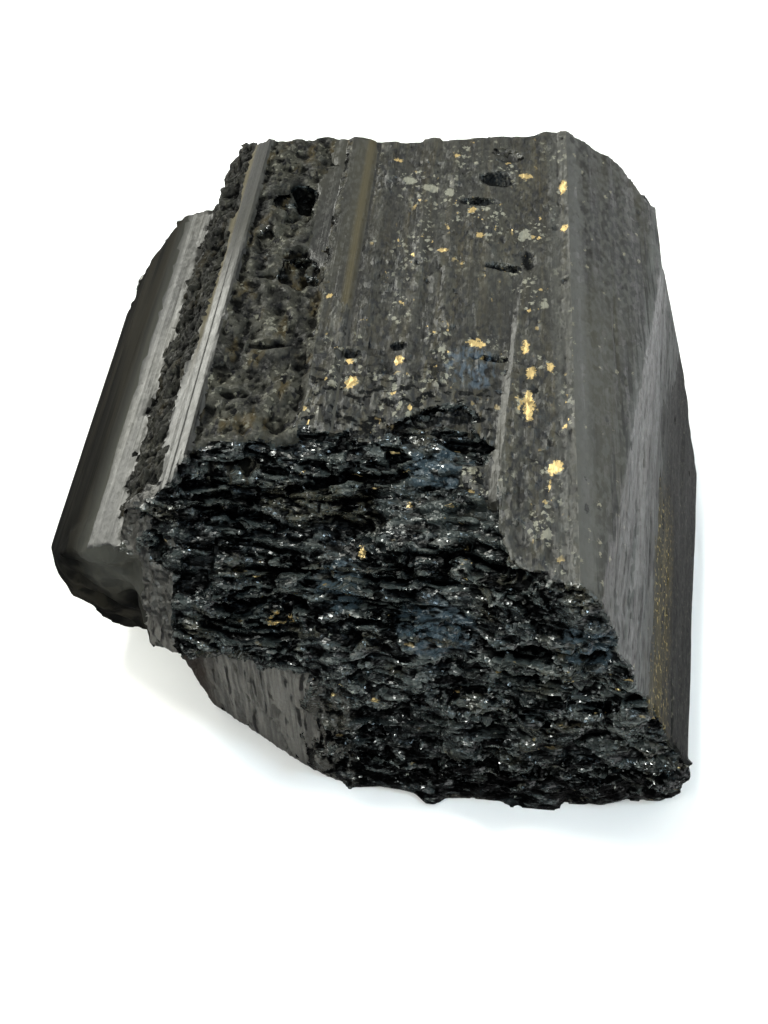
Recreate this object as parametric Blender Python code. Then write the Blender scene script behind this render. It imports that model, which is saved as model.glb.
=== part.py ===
"""A hand-sized chunk of black tourmaline, lying on the side of its prism.

Two parallel crystals have grown together along Y: a broad main crystal with a flat, stepped top and
chamfered right side, and a narrow one low on its left. Their sides carry the fine lengthwise ribs of
tourmaline, and both ends are broken across the grain, in ledges. X is to the right, Z is up, and the
origin is on the flat face that the chunk rests on.

Every mesh holds millimetres, and hangs on an empty whose scale, MM, turns them into metres.
"""

import random
from math import radians

import bmesh
import bpy
from mathutils import Matrix, Vector, noise

MM = 0.001

# The chunk as a whole
PART_NAME = "tourmaline_crystal"
HEIGHT = 29.0
RIDGE_X = 15.0  # the long ridge between the top and the right side
STONE_COLOUR = (0.022, 0.023, 0.024, 1.0)
STONE_ROUGHNESS = 0.38

# Cross-sections, as (x, z) corners, anticlockwise seen from the front
MAIN_SECTION = [
    (-14.4, 0.0),
    (24.0, 0.0),
    (28.8, 2.2),
    (30.1, 8.4),
    (28.6, 14.4),
    (24.3, 24.3),
    (RIDGE_X, HEIGHT),
    (14.0, HEIGHT - 0.35),
    (-3.4, HEIGHT - 0.45),
    (-3.8, HEIGHT - 0.1),
    (-5.9, HEIGHT - 0.05),
    (-6.4, HEIGHT - 0.5),
    (-14.2, HEIGHT - 0.1),
    (-15.9, HEIGHT - 1.6),
    (-18.9, 25.6),
    (-19.5, 22.0),
    (-18.5, 12.0),
    (-16.9, 4.5),
]
SIDE_SECTION = [
    (-13.0, 9.0),
    (-13.0, 21.5),
    (-19.4, 22.2),
    (-22.2, 21.5),
    (-25.6, 18.3),
    (-28.0, 14.6),
    (-27.2, 11.0),
    (-24.2, 8.2),
    (-20.2, 7.0),
]
SIDE_TURN = 1.2  # degrees that the side crystal is askew, about Z
SIDE_PIVOT = (-19.4, -13.0, 22.0)
MAIN_RIB = 0.16  # heights of the lengthwise ribs
SIDE_RIB = 0.13
CHAMFER_RIB = 0.12
BAND_RIB = 0.08
RIB_PITCH = 1.1

# Prisms that are cut away, each askew to the main crystal: (x, z) corners, pivot, turns in degrees
CHAMFER = {
    "section": [(12.1, 36.3), (16.6, 28.0), (21.5, 19.0), (25.4, 11.8), (36.0, 20.0), (36.0, 40.0)],
    "pivot": (19.0, -28.0, 24.0),
    "about_z": -7.6,
}
SIDE_TAPER = {
    "section": [(19.2, 23.9), (21.3, 19.3), (26.3, 8.2), (27.2, -3.0), (36.0, -3.0), (36.0, 24.0)],
    "pivot": (26.0, -28.0, 10.0),
    "about_z": -6.4,
}
BACK_TAPER = {
    "section": [(24.9, 23.7), (28.1, 14.9), (29.8, 8.1), (30.3, -3.0), (36.0, -3.0), (36.0, 23.7)],
    "pivot": (30.0, 4.0, 8.4),
    "about_z": 2.8,
}
SUNK_BAND = {
    "section": [(-6.0, 29.15), (9.2, 27.95), (10.2, 29.2), (10.2, 32.0), (-6.0, 32.0)],
    "pivot": (10.2, -12.0, 27.95),
    "about_z": -4.8,
    "about_x": 1.3,
}
SUNK_BAND_END = 20.0  # where, in y, the band has risen to the level of the top

# The broken front end: for each x, how far forward (y) the break stands at each height (z)
FRONT_BREAK = {
    -19.0: [(0, -18.6), (10.0, -19.0), (11.5, -21.4), (19, -20.6), (24, -19.6), (29, -19.0)],
    -17.4: [(0, -19.6), (10.6, -20.0), (12.0, -24.8), (19, -23.0), (24, -20.6), (29, -19.6)],
    -14.9: [(0, -21.4), (13.8, -21.8), (15.2, -27.0), (19, -25.4), (25, -21.0), (29, -19.8)],
    -13.3: [(0, -22.4), (15.0, -22.8), (16.2, -27.8), (19, -26.0), (24, -20.4), (29, -15.2)],
    -9.0: [(0, -24.9), (15.4, -25.2), (16.4, -27.9), (21, -23.6), (25, -18.4), (29, -14.2)],
    -4.0: [(0, -27.8), (15.6, -27.8), (16.8, -28.0), (21, -24.4), (25, -18.6), (29, -13.0)],
    -1.0: [(0, -28.2), (12.0, -28.2), (19.0, -27.4), (22, -25.2), (26, -17.4), (29, -11.6)],
    4.0: [(0, -28.6), (12.0, -28.4), (21.0, -26.8), (25, -24.2), (27, -16.0), (29, -10.8)],
    8.8: [(0, -29.0), (12.0, -28.8), (22.0, -27.0), (26, -24.2), (28, -17.6), (29, -10.6)],
    9.6: [(0, -29.0), (12.0, -29.0), (22.0, -27.4), (26, -26.0), (29, -23.6)],
    15.2: [(0, -29.0), (8.0, -29.4), (18.0, -29.3), (24, -28.2), (29, -27.4)],
    21.0: [(0, -28.2), (5.0, -28.8), (12.0, -29.6), (20, -30.0), (29, -29.4)],
    25.0: [(0, -27.6), (6.0, -28.6), (12.0, -29.4), (29, -29.4)],
    29.0: [(0, -26.0), (8.0, -27.6), (16.0, -28.4), (29, -28.4)],
}
BACK_BREAK = {
    -19.0: [(0, 20.0), (10, 22.5), (20, 26.6), (25, 28.6), (29, 28.8)],
    -17.0: [(0, 20.4), (10, 22.8), (20, 26.8), (25, 28.4), (29, 28.2)],
    -14.4: [(0, 21.2), (10, 23.8), (20, 26.4), (29, 25.5)],
    -8.0: [(0, 22.6), (8, 25.0), (18, 27.6), (29, 27.0)],
    -3.6: [(0, 23.0), (8, 25.4), (18, 27.8), (29, 26.8)],
    2.0: [(0, 23.6), (10, 26.2), (20, 28.6), (29, 27.8)],
    8.0: [(0, 24.2), (10, 27.2), (20, 29.2), (29, 28.9)],
    13.0: [(0, 24.6), (8, 27.6), (20, 29.8), (29, 30.2)],
    15.4: [(0, 24.6), (8, 27.6), (20, 29.8), (29, 29.1)],
    18.0: [(0, 24.6), (8, 27.4), (20, 29.6), (29, 29.6)],
    20.6: [(0, 24.0), (10, 26.8), (22, 29.2), (29, 29.2)],
    23.8: [(0, 22.8), (8, 25.6), (16, 27.6), (24, 25.6), (29, 23.0)],
    27.0: [(0, 21.4), (8, 24.6), (14, 25.4), (20, 22.0), (29, 15.0)],
    30.0: [(0, 19.0), (8, 21.6), (14, 20.4), (20, 15.0), (29, 9.0)],
}
SIDE_FRONT_BREAK = {
    -29.0: [(6, -14.6), (14, -13.8), (23, -16.4)],
    -26.6: [(6, -17.0), (14, -17.8), (23, -19.6)],
    -25.0: [(6, -17.8), (14, -19.0), (23, -20.4)],
    -20.0: [(6, -18.8), (14, -20.6), (23, -21.8)],
    -12.0: [(6, -19.2), (14, -21.0), (23, -21.8)],
}
SIDE_BACK_BREAK = {
    -29.0: [(6, 10.0), (14, 14.5), (23, 17.5)],
    -25.0: [(6, 16.0), (14, 20.8), (23, 22.4)],
    -20.0: [(6, 20.0), (14, 23.4), (23, 23.2)],
    -12.0: [(6, 20.0), (14, 23.8), (23, 23.6)],
}
MAIN_ENDS = ((-20.6, 31.4), (-2.4, 31.3))  # the x and z that the main crystal's breaks span
SIDE_ENDS = ((-31.0, -10.0), (4.0, 26.0))
RECESS = ((-22.0, -2.6), (-2.0, 15.2))  # the smooth face under the overhang, in x and in z
RECESS_BORDER = 0.8
MAIN_ROUGHNESS = 1.0
SIDE_ROUGHNESS = 0.75
LEDGE_RISE = 2.5  # height from one ledge of a break to the next
LEDGE_WAVER = 2.4  # how far a ledge wanders up and down along its run
LEDGE_LIP = 0.9  # how far a ledge stands out over the hollow beneath it
FRONT_CELL = 1.0  # sizes of a break's facets
BACK_CELL = 1.3
REACH = 40.0  # how far a cutter runs past the chunk

# Rough growth: its x and y spans, the height of its sides, how they curve, and the deepest hollow
ROUGH_TOP = {"x": (-13.9, -6.2), "y": (-24.0, 33.0), "z": (28.9, 28.9), "curve": 1.0, "depth": 0.85}
GROOVE = {"x": (-19.8, -15.9), "y": (-26.0, 30.0), "z": (22.4, 27.7), "curve": 0.6, "depth": 0.8}
ROUGH_CELL = (0.95, 1.4)

# Hollows: (name, centre, radii, tilt about Y in degrees)
HOLLOWS = [
    ("pit_back", (-9.9, 15.4, 28.6), (2.1, 2.6, 1.7), 12),
    ("pit_middle", (-8.2, 5.2, 28.7), (1.9, 2.4, 1.5), -8),
    ("pit_small", (-12.2, 9.6, 28.8), (1.0, 2.2, 0.8), 5),
    ("chip_top", (9.4, 25.2, 28.8), (1.7, 1.2, 0.6), 0),
    ("pocket", (5.2, -13.6, 28.2), (3.6, 3.0, 1.5), 10),
    ("hollow_under_right", (19.6, 4.0, -0.6), (5.5, 8.0, 1.4), 0),
    ("hollow_under_left", (-13.5, 14.0, -0.4), (5.0, 7.0, 1.8), 0),
]


def clear_scene():
    for old in list(bpy.data.objects):
        bpy.data.objects.remove(old, do_unlink=True)


def millimetre_frame():
    """The empty that everything hangs on: below it, one unit is a millimetre."""
    frame = bpy.data.objects.new("millimetres", None)
    bpy.context.scene.collection.objects.link(frame)
    frame.scale = (MM, MM, MM)
    return frame


def new_collection(name):
    collection = bpy.data.collections.new(name)
    bpy.context.scene.collection.children.link(collection)
    return collection


def stone_material():
    material = bpy.data.materials.new("black_tourmaline")
    material.use_nodes = True
    shader = material.node_tree.nodes["Principled BSDF"]
    shader.inputs["Base Color"].default_value = STONE_COLOUR
    shader.inputs["Roughness"].default_value = STONE_ROUGHNESS
    shader.inputs["Metallic"].default_value = 0.0
    return material


def object_from(mesh_maker, name, collection, helper=True):
    """An object of the finished bmesh. A helper only cuts or joins, so it isn't rendered."""
    bmesh.ops.recalc_face_normals(mesh_maker, faces=mesh_maker.faces)
    bmesh.ops.triangulate(mesh_maker, faces=mesh_maker.faces)
    mesh = bpy.data.meshes.new(name)
    mesh_maker.to_mesh(mesh)
    mesh_maker.free()
    made = bpy.data.objects.new(name, mesh)
    collection.objects.link(made)
    made.parent = bpy.data.objects["millimetres"]
    if helper:
        made.hide_render = True
        made.display_type = "WIRE"
    return made


def join(target, other, operation):
    modifier = target.modifiers.new(other.name, "BOOLEAN")
    modifier.operation = operation
    modifier.solver = "EXACT"
    modifier.object = other


def ribbed(section, depth, seed):
    """The section with each side divided into ridges and furrows about RIB_PITCH wide."""
    draw = random.Random(seed)
    outline = []
    for start, end in zip(section, section[1:] + section[:1]):
        first, last = Vector(start), Vector(end)
        side = last - first
        outline.append(first)
        flat_on_ground = first.y == 0.0 and last.y == 0.0
        count = 1 if flat_on_ground else max(1, round(side.length / RIB_PITCH))
        outward = Vector((side.y, -side.x)).normalized()
        for step in range(1, count):
            share = (step + draw.uniform(-0.32, 0.32)) / count
            outline.append(first + side * share + outward * depth * draw.uniform(-1.0, 0.7))
    return outline


def moved_verts(grown):
    return [item for item in grown["geom"] if isinstance(item, bmesh.types.BMVert)]


def prism(name, outline, front, back, collection, helper=True):
    """A closed prism along Y over an (x, z) outline."""
    maker = bmesh.new()
    corners = [maker.verts.new((x, front, z)) for x, z in outline]
    face = maker.faces.new(corners)
    grown = bmesh.ops.extrude_face_region(maker, geom=[face])
    bmesh.ops.translate(maker, verts=moved_verts(grown), vec=(0, back - front, 0))
    return object_from(maker, name, collection, helper)


def between(pairs, at):
    """Linear interpolation in a list of (position, value), level past its ends."""
    if at <= pairs[0][0]:
        return pairs[0][1]
    for (low, a), (high, b) in zip(pairs, pairs[1:]):
        if at <= high:
            return a + (b - a) * (at - low) / (high - low)
    return pairs[-1][1]


def break_depth(profiles, x, z):
    columns = [(place, between(profile, z)) for place, profile in profiles.items()]
    return between(columns, x)


def inside(span, at, border):
    """1 well inside a span, 0 outside it, with a soft border."""
    nearest = min(at - span[0], span[1] - at)
    return min(1.0, max(0.0, nearest / border))


def ledge_at(z, waver):
    """The height of the ledge that z belongs to, and how far up its face z is, from 0 to 1."""
    step = (z + waver) / LEDGE_RISE
    whole = step // 1
    share = step - whole
    rise = max(0.0, 2.0 * share - 1.0)
    return (whole + rise) * LEDGE_RISE - waver, share


def broken_surface(profiles, roughness, outward, seed, smooth_patch=None):
    """A function of (x, z) that gives the y of a ledged, splintery break."""

    def surface(x, z):
        place = Vector((x * 0.14, seed, z * 0.2))
        level, share = ledge_at(z, LEDGE_WAVER * noise.noise(place))
        coarse = noise.noise(Vector((x * 0.3, seed + 5.0, z * 0.7)))
        fine = noise.noise(Vector((x * 0.7, seed + 9.0, z * 1.4)))
        chip = noise.cell(Vector((x * 0.42 + seed, z * 0.8, seed))) - 0.5
        lip = LEDGE_LIP * (0.5 - share) * (0.6 + 1.2 * abs(noise.noise(place * 2.0)))
        rough = roughness
        if smooth_patch:
            x_span, z_span = smooth_patch
            calm = inside(x_span, x, RECESS_BORDER) * inside(z_span, z, RECESS_BORDER)
            rough *= 1.0 - 0.9 * calm
        stepped = break_depth(profiles, x, 0.4 * z + 0.6 * level)
        return stepped + rough * (0.7 * coarse + 0.4 * fine + 0.5 * chip + outward * lip)

    return surface


def grid_cutter(name, spans, cells, place, move_out, collection):
    """A cutter with one uneven side: a grid laid out by place(u, v), extruded by move_out."""
    (u_low, u_high), (v_low, v_high) = spans
    maker = bmesh.new()
    bmesh.ops.create_grid(
        maker,
        x_segments=round((u_high - u_low) / cells[0]),
        y_segments=round((v_high - v_low) / cells[1]),
        size=0.5,
    )
    for vert in maker.verts:
        u = u_low + (vert.co.x + 0.5) * (u_high - u_low)
        v = v_low + (vert.co.y + 0.5) * (v_high - v_low)
        vert.co = place(u, v)
    grown = bmesh.ops.extrude_face_region(maker, geom=maker.faces[:])
    for vert in moved_verts(grown):
        move_out(vert.co)
    return object_from(maker, name, collection)


def break_cutter(name, surface, spans, outward, cell, collection):
    """All that lies past a broken end."""

    def place(x, z):
        return x, surface(x, z), z

    def move_out(point):
        point.y = outward * REACH

    return grid_cutter(name, spans, (cell, cell), place, move_out, collection)


def rough_cutter(name, area, seed, collection):
    """What lies above a lumpy strip along the crystal."""
    (x_low, x_high), (z_low, z_high) = area["x"], area["z"]

    def place(x, y):
        across = (x - x_low) / (x_high - x_low)
        lump = noise.noise(Vector((x * 0.45, y * 0.28, seed)))
        grit = noise.noise(Vector((x * 1.1, y * 0.7, seed + 3.0)))
        level = z_low + (z_high - z_low) * across ** area["curve"]
        return x, y, level - area["depth"] * (0.35 + 0.7 * lump + 0.35 * grit)

    def move_out(point):
        point.z = REACH

    return grid_cutter(name, (area["x"], area["y"]), ROUGH_CELL, place, move_out, collection)


def hollow_cutter(name, centre, radii, tilt, seed, collection):
    """A lumpy ball, for a pit or a pocket."""
    maker = bmesh.new()
    bmesh.ops.create_icosphere(maker, subdivisions=3, radius=1.0)
    for vert in maker.verts:
        swell = noise.noise(vert.co * 1.6 + Vector((seed, 0, 0)))
        grit = noise.noise(vert.co * 4.5 + Vector((0, seed, 0)))
        vert.co *= 1.0 + 0.5 * swell + 0.22 * grit
    shape = Matrix.Rotation(radians(tilt), 4, "Y") @ Matrix.Diagonal((*radii, 1.0))
    bmesh.ops.transform(maker, matrix=Matrix.Translation(centre) @ shape, verts=maker.verts)
    return object_from(maker, name, collection)


def turned_about(obj, pivot, about_z, about_x=0.0):
    """Turns an object about a point, as a crystal face that isn't quite parallel to the others."""
    turn = Matrix.Rotation(radians(about_z), 4, "Z") @ Matrix.Rotation(radians(about_x), 4, "X")
    centre = Matrix.Translation(pivot)
    obj.matrix_basis = centre @ turn @ centre.inverted()
    return obj


def askew_cutter(name, cut, rib, seed, collection, end=REACH):
    """A ribbed prism that takes a facet or a band off the main crystal."""
    cutter = prism(name, ribbed(cut["section"], rib, seed), -REACH, end, collection)
    return turned_about(cutter, cut["pivot"], cut["about_z"], cut.get("about_x", 0.0))


def side_crystal(cutters):
    """The narrow crystal low on the left, with its own broken ends."""
    crystal = prism("side_crystal", ribbed(SIDE_SECTION, SIDE_RIB, 5), -28.0, 30.0, cutters)
    front = broken_surface(SIDE_FRONT_BREAK, SIDE_ROUGHNESS, -1, 21.0)
    back = broken_surface(SIDE_BACK_BREAK, SIDE_ROUGHNESS, 1, 26.0)
    cuts = [
        break_cutter("side_front_break", front, SIDE_ENDS, -1, FRONT_CELL, cutters),
        break_cutter("side_back_break", back, SIDE_ENDS, 1, BACK_CELL, cutters),
    ]
    for cutter in cuts:
        join(crystal, cutter, "DIFFERENCE")
    return turned_about(crystal, SIDE_PIVOT, SIDE_TURN)


def main_crystal(part, cutters):
    """The broad crystal, before its neighbour is joined to it."""
    outline = ribbed(MAIN_SECTION, MAIN_RIB, 2)
    crystal = prism(PART_NAME, outline, -0.9 * REACH, 0.9 * REACH, part, helper=False)
    front = broken_surface(FRONT_BREAK, MAIN_ROUGHNESS, -1, 11.0, RECESS)
    back = broken_surface(BACK_BREAK, MAIN_ROUGHNESS, 1, 16.0)
    cuts = [
        askew_cutter("chamfer", CHAMFER, CHAMFER_RIB, 31, cutters),
        askew_cutter("side_taper", SIDE_TAPER, CHAMFER_RIB, 37, cutters),
        askew_cutter("back_taper", BACK_TAPER, CHAMFER_RIB, 43, cutters),
        askew_cutter("sunk_band", SUNK_BAND, BAND_RIB, 47, cutters, SUNK_BAND_END),
        rough_cutter("rough_top", ROUGH_TOP, 3.0, cutters),
        break_cutter("front_break", front, MAIN_ENDS, -1, FRONT_CELL, cutters),
        break_cutter("back_break", back, MAIN_ENDS, 1, BACK_CELL, cutters),
    ]
    for cutter in cuts:
        join(crystal, cutter, "DIFFERENCE")
    return crystal


def main():
    clear_scene()
    millimetre_frame()
    part = new_collection(PART_NAME)
    cutters = new_collection("cutters")
    crystal = main_crystal(part, cutters)
    join(crystal, side_crystal(cutters), "UNION")
    join(crystal, rough_cutter("groove", GROOVE, 8.0, cutters), "DIFFERENCE")
    for number, (name, centre, radii, tilt) in enumerate(HOLLOWS):
        hollow = hollow_cutter(name, centre, radii, tilt, 4.0 * number, cutters)
        join(crystal, hollow, "DIFFERENCE")
    crystal.data.materials.append(stone_material())


main()
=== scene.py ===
"""Black tourmaline crystal: the visual model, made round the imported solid, and the stage that it lies on."""

import itertools
from math import cos, pi, radians, sin

import bmesh
import bpy
import numpy as np
from mathutils import Matrix, Vector
from mathutils.bvhtree import BVHTree


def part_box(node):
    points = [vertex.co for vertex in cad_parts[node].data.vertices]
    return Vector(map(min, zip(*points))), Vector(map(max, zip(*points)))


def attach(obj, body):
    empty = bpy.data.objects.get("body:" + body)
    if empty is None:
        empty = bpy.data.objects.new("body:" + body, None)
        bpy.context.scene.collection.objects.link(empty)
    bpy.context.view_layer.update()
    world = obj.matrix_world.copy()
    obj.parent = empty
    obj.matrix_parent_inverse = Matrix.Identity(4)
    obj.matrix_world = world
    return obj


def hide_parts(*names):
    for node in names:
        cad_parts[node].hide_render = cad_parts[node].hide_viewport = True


bl_info = {
    "name": "Black tourmaline crystal",
    "version": (1, 0, 0),
    "blender": (4, 5, 0),
    "location": "3D View > Sidebar > Schorl",
    "description": "A rough chunk of black tourmaline with ribbed sides and broken ends, on a pale stage",
    "category": "Object",
}

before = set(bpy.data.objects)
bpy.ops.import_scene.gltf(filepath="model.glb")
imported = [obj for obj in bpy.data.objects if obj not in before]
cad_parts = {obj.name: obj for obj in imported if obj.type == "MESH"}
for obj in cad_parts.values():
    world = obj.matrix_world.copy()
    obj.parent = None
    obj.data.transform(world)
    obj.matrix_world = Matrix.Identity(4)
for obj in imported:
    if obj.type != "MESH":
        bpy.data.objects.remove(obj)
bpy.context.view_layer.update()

MM = 0.001
NODE = "tourmaline_crystal"
SOLID_LOW, SOLID_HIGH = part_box(NODE)

# Kinds of surface
SIDE, TOP, OUTER, DULL, BREAK, GROWTH, RECESS, BASE = range(8)

# Where the kinds lie, in millimetres
ROUGH_TOP = {"x": (-14.3, -6.0), "z": (26.4, 30.0)}
GRITTY_TOP = (-3.9, 15.05)
STRIP_EDGE = (-6.6, -5.9)  # the rough growth laps over this edge of the smooth strip
FLANK = ((-19.6, -14.2), -15.5)  # the front's left flank: its span in x, and how far back it starts
GROOVE = {"x": (-20.6, -15.7), "z": (20.5, 28.0)}
OUTER_SIDE_X = -22.3  # left of this, the narrow crystal's side is weathered
RECESS_LINE = ((-15.5, -20.2), (-3.0, -27.3))  # the recessed face, seen from above
RECESS_TOP = 15.6
SIDE_END = (-17.8, -12.0)  # the narrow crystal's worn front end lies beyond this in x and y
FOOT = 2.5
DULL_SIDE = 0.45  # on the right, faces steeper than this (the normal's z) are dull
LONG_FACE = 12.0  # faces this long, along the crystal, belong to its sides

# Chips and cracks in the top: (x, y), half-sizes, depth
CHIPS = [
    ((8.4, 20.9), (1.7, 1.3), 0.8),
    ((6.7, 17.1), (1.9, 0.6), 0.6),
    ((9.3, 7.5), (2.0, 0.5), 0.6),
    ((11.4, 8.7), (0.6, 1.5), 0.5),
    ((8.5, -4.2), (1.9, 0.35), 0.5),
    ((0.9, -3.6), (0.8, 0.5), 0.4),
    ((-2.9, -5.0), (0.9, 0.5), 0.5),
]


# Hollows in the rough strip of the top: (x, y), half-sizes, depth
HOLLOWS = [
    ((-9.2, 17.3), (1.9, 1.5), 0.8),
    ((-8.6, 7.9), (1.6, 1.1), 0.9),
    ((-11.5, 4.6), (1.3, 0.7), 0.5),
    ((-9.5, -4.6), (1.8, 0.6), 0.5),
    ((-11.6, -10.4), (1.7, 0.6), 0.5),
]


# ---------------------------------------------------------------- relief


def scatter(cells, seed):
    """Three even random numbers for each whole-number cell, the same on every run."""
    mixed = cells[..., 0].astype(np.uint64) * np.uint64(0x9E3779B97F4A7C15)
    mixed = mixed ^ (cells[..., 1].astype(np.uint64) * np.uint64(0xC2B2AE3D27D4EB4F))
    mixed = mixed ^ (cells[..., 2].astype(np.uint64) * np.uint64(0x165667B19E3779F9))
    mixed = mixed + np.uint64(seed) * np.uint64(0x27D4EB2F165667C5)
    draws = []
    for _ in range(3):
        mixed = (mixed ^ (mixed >> np.uint64(30))) * np.uint64(0xBF58476D1CE4E5B9)
        mixed = (mixed ^ (mixed >> np.uint64(27))) * np.uint64(0x94D049BB133111EB)
        mixed = mixed ^ (mixed >> np.uint64(31))
        draws.append((mixed >> np.uint64(11)).astype(np.float64) / 2.0**53)
    return np.stack(draws, axis=-1)


def swell(points, seed):
    """Smooth hills and hollows between about -1 and 1, one unit across."""
    whole = np.floor(points)
    share = points - whole
    ease = share * share * share * (share * (share * 6.0 - 15.0) + 10.0)
    total = np.zeros(len(points))
    for corner in itertools.product((0, 1), repeat=3):
        corner = np.array(corner)
        slope = scatter((whole + corner).astype(np.int64), seed) * 2.0 - 1.0
        weight = np.prod(np.where(corner == 1, ease, 1.0 - ease), axis=1)
        total += weight * np.sum(slope * (share - corner), axis=1)
    return 1.5 * total


def layered(points, seed, layers=3):
    """Hills with smaller hills on them."""
    return sum(swell(points * 2.0**step, seed + step) / 2.0**step for step in range(layers))


def grains(points, seed):
    """The grain that each point belongs to: the way to its middle, and three draws of its own."""
    home = np.floor(points).astype(np.int64)
    nearest = np.full(len(points), np.inf)
    reach = np.zeros_like(points)
    draws = np.zeros_like(points)
    for offset in itertools.product((-1, 0, 1), repeat=3):
        cell = home + np.array(offset)
        way = cell + scatter(cell, seed) - points
        distance = np.sum(way * way, axis=1)
        closer = distance < nearest
        nearest[closer] = distance[closer]
        reach[closer] = way[closer]
        draws[closer] = scatter(cell[closer], seed + 1)
    return reach, draws


def facets(points, seed, tilt=1.0, offset=0.5):
    """Flat, tilted grains with small steps between them."""
    reach, draws = grains(points, seed)
    lean = np.sum((draws * 2.0 - 1.0) * reach, axis=1)
    return tilt * lean + offset * (draws[:, 0] + draws[:, 1] - 1.0)


def ledges(along, waver, pitch):
    """A stack of shallow ledges: each stands out at its foot and slopes back above it."""
    place = (along + waver) / pitch
    return 0.5 - (place - np.floor(place))


def side_relief(points, _away):
    """Lengthwise ribs and hairline grooves, with a few pits. They are fainter on the narrow crystal."""
    ribs = layered(points / (1.5, 70.0, 1.5), 3, 3)
    line = np.abs(swell(points / (2.1, 90.0, 2.1), 9))
    groove = np.clip(1.0 - line / 0.09, 0.0, 1.0)
    patch = np.clip(0.4 + 1.6 * swell(points / (5.0, 16.0, 5.0), 12), 0.0, 1.0)
    reach, draws = grains(points / (1.7, 2.6, 1.7), 15)
    width = 0.10 + 0.16 * draws[:, 1]
    pit = np.clip(1.0 - np.linalg.norm(reach, axis=1) / width, 0.0, 1.0) * (draws[:, 0] < 0.16)
    ripple = swell(points / (0.8, 1.4, 0.8), 17)
    faint = np.where(points[:, 0] < -17.5, 0.4, 1.0)
    return faint * (0.10 * ribs - 0.13 * groove * patch - 0.28 * pit + 0.02 * ripple)


def outer_relief(points, _away):
    """Low, soft waves along the weathered side, and soft lumps on its worn end."""
    waves = layered(points / (2.4, 60.0, 2.4), 5, 3)
    lumps = layered(points / (3.4, 3.0, 2.8), 6, 3) * np.clip((-15.0 - points[:, 1]) / 3.0, 0.0, 1.0)
    return 0.12 * waves + 0.26 * lumps + 0.02 * swell(points / (1.0, 2.4, 1.0), 8)


def break_relief(points, away):
    """Ledges across the break, made of flat grains that are longer sideways than they are high."""
    x, y, z = points.T
    up_the_break = 0.66 * z - 0.75 * y * away
    bend = 1.3 * swell(points / (7.0, 6.0, 6.0), 21) + 0.3 * swell(points / (1.6, 2.0, 2.0), 22)
    strong = np.clip(0.6 + 1.4 * swell(points / (8.0, 6.0, 5.0), 23), 0.0, 1.2)
    strong = strong * np.clip((28.6 - z) / 3.0, 0.3, 1.0)
    steps = 0.6 * ledges(up_the_break, 1.2 * bend, 4.3) + 0.85 * ledges(up_the_break, bend, 2.0)
    steps = steps + 0.5 * ledges(up_the_break, 0.8 * bend, 0.95)
    humps = 0.8 * layered(points / (4.6, 2.6, 2.2), 28, 2)
    big = facets(points / (3.6, 1.8, 1.5), 24, 1.3, 0.6)
    middling = facets(points / (1.9, 0.95, 0.8), 25, 1.1, 0.6)
    small = facets(points / (0.9, 0.55, 0.45), 26, 1.0, 0.5)
    calm = np.clip(0.75 + 0.9 * swell(points / (5.0, 5.0, 4.0), 27), 0.25, 1.3)
    height = strong * steps + humps + calm * (0.6 * big + 0.34 * middling + 0.1 * small)
    worn = np.clip(np.maximum(z - 23.0, x - 21.0) / 4.0, 0.0, 1.0) * (away > 0.0)
    return height * (1.0 - 0.7 * worn) * np.clip(z / 6.0, 0.05, 1.0)


def growth_relief(points, _away):
    """Lumps and small pits, a little longer along the crystal, and rougher in the groove on the left."""
    lumps = layered(points / (2.2, 3.2, 2.0), 31, 3)
    crust = facets(points / (1.1, 1.7, 1.0), 32, 0.8, 0.55)
    grit = facets(points / (0.6, 0.8, 0.6), 33, 1.0, 0.6)
    reach, draws = grains(points / (1.9, 2.6, 1.9), 34)
    hole = np.clip(1.0 - np.linalg.norm(reach, axis=1) / (0.22 + 0.2 * draws[:, 1]), 0.0, 1.0)
    height = 0.4 * lumps + 0.2 * crust + 0.1 * grit - 0.5 * hole * (draws[:, 0] < 0.24)
    height *= np.where(points[:, 0] < -15.7, 1.5, 0.8)
    for (x, y), (wide, long), deep in HOLLOWS:
        way = np.hypot((points[:, 0] - x) / wide, (points[:, 1] - y) / long) + 0.4 * swell(points / 1.4, 56)
        height -= deep * np.clip(1.7 - 1.7 * way, 0.0, 1.0)
    return height


def recess_relief(points, _away):
    """Upright ribs with a few narrow slots."""
    ribs = layered(points / (1.0, 1.0, 26.0), 37, 3)
    slot = np.clip(1.0 - np.abs(swell(points / (2.2, 2.2, 8.0), 38)) / 0.1, 0.0, 1.0)
    torn = facets(points / (0.7, 0.7, 2.0), 36, 1.0, 0.6) * np.clip((points[:, 2] - 16.0) / 3.0, 0.0, 1.0)
    return 0.1 * ribs + 0.22 * torn - 0.4 * slot * (swell(points / (2.2, 2.2, 3.4), 39) > 0.12)


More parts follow.
